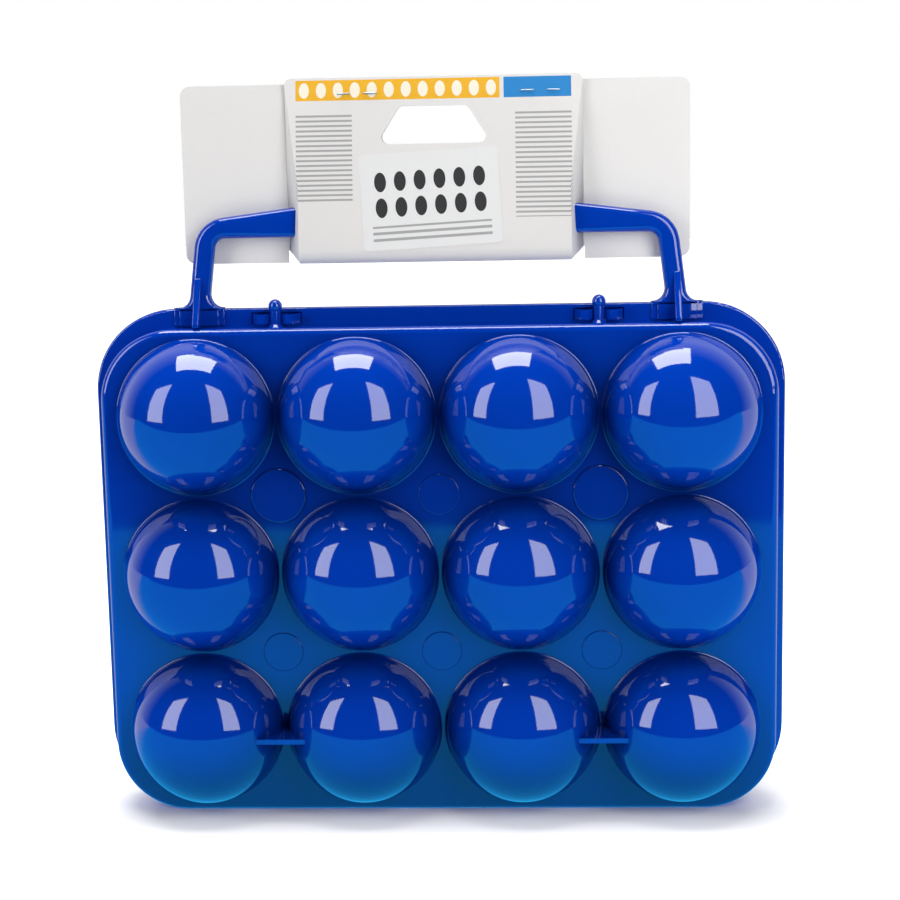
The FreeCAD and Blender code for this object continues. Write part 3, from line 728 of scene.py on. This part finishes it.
def printed_label():
    material, colour, across, up = start_paper("label_paper", LABEL_PALE, LABEL_DARK)
    tree = material.node_tree
    side, foot = LABEL_HALF - LABEL_MARGIN, -LABEL_TALL / 2
    dozen = (-side, side, foot + LABEL_EGGS_LOW, -foot - LABEL_EGGS_DROP)
    colour = mix_colours(tree, print_eggs(tree, across, up, dozen, 6, 2), colour, INK)
    lines = (-side, side, foot + LABEL_RULES_LOW, foot + LABEL_RULES_HIGH)
    colour = mix_colours(tree, print_rules(tree, across, up, lines, LABEL_RULE_PITCH), colour, GREY_INK)
    return finish_paper(material, colour)


BOARD, LABEL_PAPER = printed_board(), printed_label()
print("papers:", BOARD.name, LABEL_PAPER.name)

# %% [markdown]
# The card was punched flat and then folded under the bar, so it is made the same way. A flat T-shaped
# pattern with its hang holes is triangulated, with extra points inside so that it can bend, and each point
# is then laid along the folded path: up the wide rear panel, round the fold and up the narrow front one.

# %% Path of the fold
CARD_THICK = 0.45
REAR_HALF, REAR_TOP, CARD_FOLD = 75.2, 218.9, 166.5
REAR_FACE, FRONT_FOOT, FRONT_HEAD = 3.625, -5.40, 3.18
FOLD_ROUND, FOLD_STEPS = 3.225, 8
FRONT_LEAN = (FRONT_HEAD - FRONT_FOOT) / (FRONT_TOP - CARD_FOLD)


def folded_path():
    """Depth and height along the middle of the sheet, from the front panel's top to the rear one's."""
    low = CARD_FOLD + CARD_THICK / 2
    front_top, rear_top = (FRONT_HEAD, FRONT_TOP), (REAR_FACE, REAR_TOP)
    front_low, rear_low = (FRONT_FOOT + FRONT_LEAN * (low - CARD_FOLD), low), (REAR_FACE, low)
    front_round = corner_arc(front_top, front_low, rear_low, FOLD_ROUND, FOLD_STEPS)
    rear_round = corner_arc(front_low, rear_low, rear_top, FOLD_ROUND, FOLD_STEPS)
    return [Vector(front_top), *front_round, *rear_round, Vector(rear_top)]


def path_lengths(path):
    """Length along a path from its start to each of its points."""
    lengths = [0.0]
    for here, there in zip(path, path[1:]):
        lengths.append(lengths[-1] + (there - here).length)
    return lengths


CARD_PATH = folded_path()
CARD_LENGTHS = path_lengths(CARD_PATH)


def on_path(length):
    """Depth and height at a length along the folded sheet."""
    for start, end, here, there in zip(CARD_LENGTHS, CARD_LENGTHS[1:], CARD_PATH, CARD_PATH[1:]):
        if length <= end or there is CARD_PATH[-1]:
            return here.lerp(there, (length - start) / (end - start))


print("length of the folded sheet, mm:", round(CARD_LENGTHS[-1], 1))

# %% [markdown]
# The flat pattern is an outline with rounded corners and a short relief slit beside the fold, where the
# wide rear panel leaves the narrow strip. Two trapezium holes, one in each panel, meet when the card is
# folded and let it hang on a shop hook.

# %% Flat pattern of the card
FRONT_SLANT = math.hypot(1.0, FRONT_LEAN)
FOLD_END = CARD_LENGTHS[-2]
FOLD_END_HEIGHT = CARD_PATH[-2].y
SLIT_WIDTH, SLIT_REACH = 0.3, 0.3
FRONT_CORNER, REAR_CORNER, HOLE_CORNER = 2.0, 3.0, 2.0
HOLE_FLOOR, HOLE_ROOF, HOLE_FLOOR_HALF, HOLE_ROOF_HALF = 201.0, 212.0, 17.0, 10.0


def front_length(height):
    """Place along the sheet of a height on the front panel."""
    return (FRONT_TOP - height) * FRONT_SLANT


def rear_length(height):
    """Place along the sheet of a height on the rear panel."""
    return FOLD_END + height - FOLD_END_HEIGHT


def rounded_loop(corners, steps=6):
    """Closed outline whose corners, each with its radius, are rounded."""
    points = []
    for number, (across, along, radius) in enumerate(corners):
        if radius:
            before, after = corners[number - 1][:2], corners[(number + 1) % len(corners)][:2]
            points.extend(corner_arc(before, (across, along), after, radius, steps))
        else:
            points.append(Vector((across, along)))
    return points


def card_outline():
    slit_top, wing_low, top = FOLD_END + SLIT_REACH, rear_length(CARD_FOLD), rear_length(REAR_TOP)
    wing = FRONT_HALF + SLIT_WIDTH
    right = [(FRONT_HALF, 0.0, FRONT_CORNER), (FRONT_HALF, slit_top, 0), (wing, slit_top, 0),
             (wing, wing_low, 0), (REAR_HALF, wing_low, REAR_CORNER), (REAR_HALF, top, REAR_CORNER)]
    left = [(-across, along, radius) for across, along, radius in reversed(right)]
    return rounded_loop(right + left)


def hang_hole(length_of):
    floor, roof = length_of(HOLE_FLOOR), length_of(HOLE_ROOF)
    return rounded_loop(((-HOLE_FLOOR_HALF, floor, HOLE_CORNER), (HOLE_FLOOR_HALF, floor, HOLE_CORNER),
                         (HOLE_ROOF_HALF, roof, HOLE_CORNER), (-HOLE_ROOF_HALF, roof, HOLE_CORNER)))


print("points round the card:", len(card_outline()))

# %% [markdown]
# Flat card bends only where its mesh has points, so the pattern needs points inside its outline. They lie on
# rows: a row every few millimetres on the panels, and one at every step of the fold.

# %% Points inside the card
ROW_GAP, EDGE_CLEAR = 4.0, 1.0


def inner_points():
    rows = list(CARD_LENGTHS[1:-1])
    front_rows = int(CARD_LENGTHS[1] / ROW_GAP)
    rear_rows = int((CARD_LENGTHS[-1] - FOLD_END) / ROW_GAP)
    rows.extend(ROW_GAP * number for number in range(1, front_rows))
    rows.extend(FOLD_END + ROW_GAP * number for number in range(1, rear_rows))
    columns = int(REAR_HALF / ROW_GAP)
    places = [ROW_GAP * number for number in range(-columns, columns + 1)]
    return [Vector((across, along)) for along in rows for across in places
            if along > FOLD_END + EDGE_CLEAR or abs(across) < FRONT_HALF - EDGE_CLEAR]


def inside_loops(spot, loops):
    """True inside the outline and outside the holes: a ray to the right crosses an odd number of edges."""
    crossings = 0
    for loop in loops:
        for here, there in zip(loop, loop[1:] + loop[:1]):
            if (here.y > spot.y) != (there.y > spot.y):
                crossings += here.x + (there.x - here.x) * (spot.y - here.y) / (there.y - here.y) > spot.x
    return crossings % 2 == 1


print("points inside the card:", len(inner_points()))

# %% [markdown]
# Paper that has been folded by hand is never quite flat: the free edges of the front panel bow forward and
# the wings of the rear one back. A point of the pattern goes to its place along the folded path, and this
# bow is added to its depth.

# %% Bend of the paper
EDGE_BOW, WING_BOW, BOW_START = 1.4, 1.0, 24.0


def bow(across, along):
    """How far the free edges of the paper bend forward, or the wings back."""
    if along < CARD_LENGTHS[1]:
        share = max(0.0, abs(across) - BOW_START) / (FRONT_HALF - BOW_START)
        return -EDGE_BOW * share ** 2 * math.sin(math.pi * along / CARD_LENGTHS[1])
    share = max(0.0, abs(across) - FRONT_HALF) / (REAR_HALF - FRONT_HALF)
    return WING_BOW * share ** 2


def fold_point(across, along):
    """Place in space of a point of the flat pattern. The wings beside the fold stay flat."""
    if abs(across) > FRONT_HALF + SLIT_WIDTH / 2:
        depth, height = REAR_FACE, FOLD_END_HEIGHT + along - FOLD_END
    else:
        depth, height = on_path(along)
    return Vector((across, depth + bow(across, along), height)) * MM


print("most bow of an edge, mm:", round(bow(FRONT_HALF, CARD_LENGTHS[1] / 2), 2))

# %% [markdown]
# Triangulating with constraints keeps the outline and the holes exact. The triangles inside the holes are
# left out, the rest are laid along the fold, and the sheet gets its thickness to both sides last.

# %% Fold the card
def thicken(piece, thickness):
    """Give a sheet its thickness, half to each side, with crisp cut edges."""
    shell = piece.modifiers.new("thickness", "SOLIDIFY")
    shell.thickness = thickness * MM
    shell.offset = 0.0
    solid = bpy.data.meshes.new_from_object(piece.evaluated_get(bpy.context.evaluated_depsgraph_get()))
    piece.modifiers.clear()
    piece.data = solid
    solid.set_sharp_from_angle(angle=CREASE)


def folded_card():
    loops = [card_outline(), hang_hole(front_length), hang_hole(rear_length)]
    points, edges = [], []
    for loop in loops:
        first = len(points)
        points.extend(loop)
        edges.extend((first + here, first + (here + 1) % len(loop)) for here in range(len(loop)))
    points.extend(inner_points())
    flat, _, triangles, *_ = delaunay_2d_cdt(points, edges, [], 0, 1e-4)
    triangles = [triangle for triangle in triangles
                 if inside_loops(sum((flat[number] for number in triangle), Vector((0, 0))) / 3, loops)]
    mesh_data = bmesh.new()
    corners = [mesh_data.verts.new(fold_point(*point)) for point in flat]
    pattern = mesh_data.loops.layers.uv.new("flat_pattern")
    for triangle in triangles:
        face = mesh_data.faces.new([corners[number] for number in triangle])
        for loop, number in zip(face.loops, triangle):
            loop[pattern].uv = (flat[number].x * MM, (CARD_LENGTHS[1] - flat[number].y) * MM)
    loose = [corner for corner in mesh_data.verts if not corner.link_faces]
    bmesh.ops.delete(mesh_data, geom=loose, context="VERTS")
    card = new_piece("header_card_folded", mesh_data, BOARD)
    thicken(card, CARD_THICK)
    return card


card = folded_card()
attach(card, "card")
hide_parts("header_card")
print("faces of the card:", len(card.data.polygons))

# %% [markdown]
# A paper label is stuck to the front panel, a few degrees askew, as labels put on by hand are. It is a thin
# sheet with rounded corners that lies just in front of the board.

# %% Label
LABEL_MIDDLE, LABEL_TURN = Vector((-1.0, 185.0)), math.radians(3)
LABEL_CORNER, LABEL_THICK = 1.2, 0.12


def stuck_label():
    half, tall = LABEL_HALF, LABEL_TALL / 2
    outline = rounded_loop([(across, up, LABEL_CORNER) for across, up in
                            ((-half, -tall), (half, -tall), (half, tall), (-half, tall))])
    turn = Matrix.Rotation(LABEL_TURN, 2)
    mesh_data = bmesh.new()
    pattern = mesh_data.loops.layers.uv.new("flat_pattern")
    corners = []
    for point in outline:
        place = LABEL_MIDDLE + turn @ point
        middle = FRONT_FOOT + FRONT_LEAN * (place.y - CARD_FOLD)
        depth = middle - (CARD_THICK / 2 + LABEL_THICK / 2) * FRONT_SLANT
        corners.append(mesh_data.verts.new(Vector((place.x, depth, place.y)) * MM))
    face = mesh_data.faces.new(corners)
    for loop, point in zip(face.loops, outline):
        loop[pattern].uv = point * MM
    label = new_piece("card_label_stuck", mesh_data, LABEL_PAPER)
    thicken(label, LABEL_THICK)
    return label


label = stuck_label()
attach(label, "card")
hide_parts("card_label")

# %% [markdown]
# Two staples hold the panels together: the wire goes round behind the rear panel, through both, and its
# ends are bent inward in front. Each is a round wire skinned along a path with rounded bends.

# %% Staples
STAPLE_HEIGHT, STAPLE_HALF, STAPLE_END = 215.9, 5.75, 2.0
STAPLE_CENTRES = (-22.5, 31.5)
WIRE_RADIUS, WIRE_BEND = 0.25, 0.5
WIRE_SIDES, BEND_STEPS = 10, 5


def staple_path():
    """Middle line of a staple seen from above, from one bent end to the other."""
    front = FRONT_FOOT + FRONT_LEAN * (STAPLE_HEIGHT - CARD_FOLD) - CARD_THICK / 2 - WIRE_RADIUS
    back = REAR_FACE + CARD_THICK / 2 + WIRE_RADIUS
    bends = [(-STAPLE_END, front), (-STAPLE_HALF, front), (-STAPLE_HALF, back), (STAPLE_HALF, back),
             (STAPLE_HALF, front), (STAPLE_END, front)]
    path = [Vector(bends[0])]
    for before, bend, after in zip(bends, bends[1:], bends[2:]):
        path.extend(corner_arc(before, bend, after, WIRE_BEND, BEND_STEPS))
    return path + [Vector(bends[-1])]


def wire_rings(path, centre):
    """Rings of points round the wire, one at each point of its path."""
    rings = []
    for number, spot in enumerate(path):
        before, after = path[max(number - 1, 0)], path[min(number + 1, len(path) - 1)]
        ahead = (after - before).normalized()
        side = Vector((-ahead.y, ahead.x))
        turns = [2 * math.pi * step / WIRE_SIDES for step in range(WIRE_SIDES)]
        rings.append([Vector((centre + spot.x + side.x * WIRE_RADIUS * math.cos(turn),
                              spot.y + side.y * WIRE_RADIUS * math.cos(turn),
                              STAPLE_HEIGHT + WIRE_RADIUS * math.sin(turn))) * MM for turn in turns])
    return rings


def staples():
    mesh_data = bmesh.new()
    for centre in STAPLE_CENTRES:
        skin(mesh_data, wire_rings(staple_path(), centre))
    return new_piece("card_staples_wire", mesh_data, STEEL)


staple_pair = staples()
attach(staple_pair, "card")
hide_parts("card_staples")
print("faces of the staples:", len(staple_pair.data.polygons))

# %% [markdown]
# The studio has a white table that ends in front of the carrier, as the dark line in the domes tells. The
# camera sees the table with a painted glow that grows to plain white away from the carrier, so the real
# shadow stays close to its foot. Mirrors see its front part as a painted reflection, a glowing cool
# half-tone, which lifts the lower half of every dome.

# %% Paint of the table
TABLE_DARK, TABLE_PALE, TABLE_GRAIN = (0.86, 0.86, 0.86), (0.88, 0.88, 0.88), 40.0
TABLE_ROUGH, TABLE_SHINE = 0.7, 0.1
TABLE_PAINTED_GLOW, SHADOW_REACH = 1.0, 0.048
FOOTPRINT = (0.088, 0.010, 0.0)
TABLE_PAINTED_REFLECTION, MIRROR_WHITE_BEHIND = (0.04, 0.72, 1.5), 0.06


def distance_from_footprint(tree, place):
    """Distance of a spot on the table from the rectangle under the carrier."""
    beyond = place
    outside = (("ABSOLUTE", None), ("SUBTRACT", FOOTPRINT), ("MAXIMUM", (0, 0, 0)), ("LENGTH", None))
    for operation, limit in outside:
        step = add_node(tree, "ShaderNodeVectorMath", operation=operation)
        tree.links.new(beyond, step.inputs[0])
        if limit:
            step.inputs[1].default_value = limit
        beyond = step.outputs["Value" if operation == "LENGTH" else "Vector"]
    return beyond


def painted_table_reflection(tree, place):
    """Painted reflection of the table: mirrors see a glowing cool half-tone in front of the carrier and
    white behind it.
    """
    spot = add_node(tree, "ShaderNodeSeparateXYZ")
    tree.links.new(place, spot.inputs[0])
    # Painted reflection: an emission that only glossy rays see, bluish in front of the carrier and white
    # behind it.
    behind = remap(tree, spot.outputs["Y"], 0.0, 1.0, 0.0, MIRROR_WHITE_BEHIND)
    painted_reflection = add_node(tree, "ShaderNodeEmission")
    tree.links.new(mix_colours(tree, behind, TABLE_PAINTED_REFLECTION, WHITE), painted_reflection.inputs["Color"])
    return painted_reflection


def table_paint():
    material, shader = start_material("white_table_paint")
    tree = material.node_tree
    place = add_node(tree, "ShaderNodeTexCoord").outputs["Object"]
    colour = mix_colours(tree, noise(tree, place, TABLE_GRAIN, 3.0), TABLE_DARK, TABLE_PALE)
    tree.links.new(colour, shader.inputs["Base Color"])
    shader.inputs["Roughness"].default_value = TABLE_ROUGH
    shader.inputs["Specular IOR Level"].default_value = TABLE_SHINE
    shader.inputs["Emission Color"].default_value = (*WHITE, 1)
    rays = add_node(tree, "ShaderNodeLightPath").outputs
    # Painted light: a glow seen only by the camera, nought at the carrier's footprint and full white beyond
    # the shadow's reach.
    painted_glow = remap(tree, distance_from_footprint(tree, place), 0.0, TABLE_PAINTED_GLOW, 0.0, SHADOW_REACH)
    seen = arithmetic(tree, "MULTIPLY", painted_glow, rays["Is Camera Ray"])
    tree.links.new(seen, shader.inputs["Emission Strength"])
    either = add_node(tree, "ShaderNodeMixShader")
    tree.links.new(rays["Is Glossy Ray"], either.inputs[0])
    tree.links.new(shader.outputs[0], either.inputs[1])
    tree.links.new(painted_table_reflection(tree, place).outputs[0], either.inputs[2])
    tree.links.new(either.outputs[0], tree.nodes["Material Output"].inputs["Surface"])
    return material


TABLE_PAINT = table_paint()
print("paint made:", TABLE_PAINT.name)

# %% [markdown]
# The table itself is one flat sheet, wide and deep enough that its far edges are out of sight. It is part of
# the stage and not of the carrier, and the carrier stands on it at height nought.

# %% White table
TABLE_FRONT, TABLE_BACK, TABLE_SIDE = -0.44, 3.0, 3.0


def white_table():
    mesh = bpy.data.meshes.new("white_table")
    corners = [(-TABLE_SIDE, TABLE_FRONT, 0), (TABLE_SIDE, TABLE_FRONT, 0), (TABLE_SIDE, TABLE_BACK, 0),
               (-TABLE_SIDE, TABLE_BACK, 0)]
    mesh.from_pydata(corners, [], [(0, 1, 2, 3)])
    mesh.materials.append(TABLE_PAINT)
    table = bpy.data.objects.new("white_table", mesh)
    scene.collection.objects.link(table)
    return table


print("table added:", white_table().name)

# %% [markdown]
# Two upright softboxes stand left and right of the camera and a third hangs over the carrier. They show as
# the pale windows in every dome. Area lamps do this best: they are soft, and glossy plastic mirrors them.

# %% Softboxes
def softbox(name, place, direction, width, height, power):
    data = bpy.data.lights.new(name, "AREA")
    data.shape = "RECTANGLE"
    data.size, data.size_y = width, height
    data.energy = power
    lamp = bpy.data.objects.new(name, data)
    lamp.location = place
    lamp.rotation_euler = direction.to_track_quat("-Z", "Y").to_euler()
    lamp.visible_camera = False
    scene.collection.objects.link(lamp)
    return lamp


BACKWARD, DOWNWARD = Vector((0.1, 1, 0)), Vector((0, 0, -1))
SOFTBOXES = (
    softbox("softbox_left", Vector((-0.72, -0.45, 0.475)), BACKWARD, width=0.50, height=0.75, power=5.5),
    softbox("softbox_right", Vector((0.44, -0.50, 0.475)), BACKWARD, width=0.47, height=0.75, power=4.9),
    softbox("softbox_above", Vector((-0.07, 0.033, 0.82)), DOWNWARD, width=0.52, height=0.375, power=5.5),
)
print("softboxes:", len(SOFTBOXES))

# %% [markdown]
# Round the table the camera sees plain white. Mirrors see a dim room in front of the carrier, which keeps
# the blue deep, and pale walls to the sides and behind, which edge the outer domes with light. A soft light
# from behind reaches the back of the carrier and leaves its front to the softboxes.

# %% Surroundings
ROOM_DIM, SIDE_WALL, BACK_WALL = 0.01, 1.0, 0.25
FRONT_FILL, BACK_FILL = 0.03, 0.95
# Where a wall or the fill starts and ends, as the share of a direction that points to the back.
SIDE_START, SIDE_END, BACK_START, BACK_END, FILL_END = 0.05, 0.55, 0.6, 0.95, 0.6


def surroundings():
    world = bpy.data.worlds.new("studio")
    world.use_nodes = True
    scene.world = world
    tree = world.node_tree
    background = tree.nodes["Background"]
    rays = add_node(tree, "ShaderNodeLightPath").outputs
    direction = add_node(tree, "ShaderNodeSeparateXYZ")
    tree.links.new(add_node(tree, "ShaderNodeTexCoord").outputs["Generated"], direction.inputs[0])
    toward_back = direction.outputs["Y"]
    walls = remap(tree, toward_back, ROOM_DIM, SIDE_WALL, SIDE_START, SIDE_END)
    dimmer = remap(tree, toward_back, 1.0, BACK_WALL, BACK_START, BACK_END)
    room = arithmetic(tree, "MULTIPLY", walls, dimmer)
    fill = remap(tree, toward_back, FRONT_FILL, BACK_FILL, 0.0, FILL_END)
    mirrors = arithmetic(tree, "MAXIMUM", rays["Is Glossy Ray"], rays["Is Transmission Ray"])
    unseen = mix_colours(tree, mirrors, fill, room)
    shown = mix_colours(tree, rays["Is Camera Ray"], unseen, WHITE)
    tree.links.new(shown, background.inputs["Color"])
    return world


print("surroundings:", surroundings().name)

# %% [markdown]

# %% End
print("end of the scene")
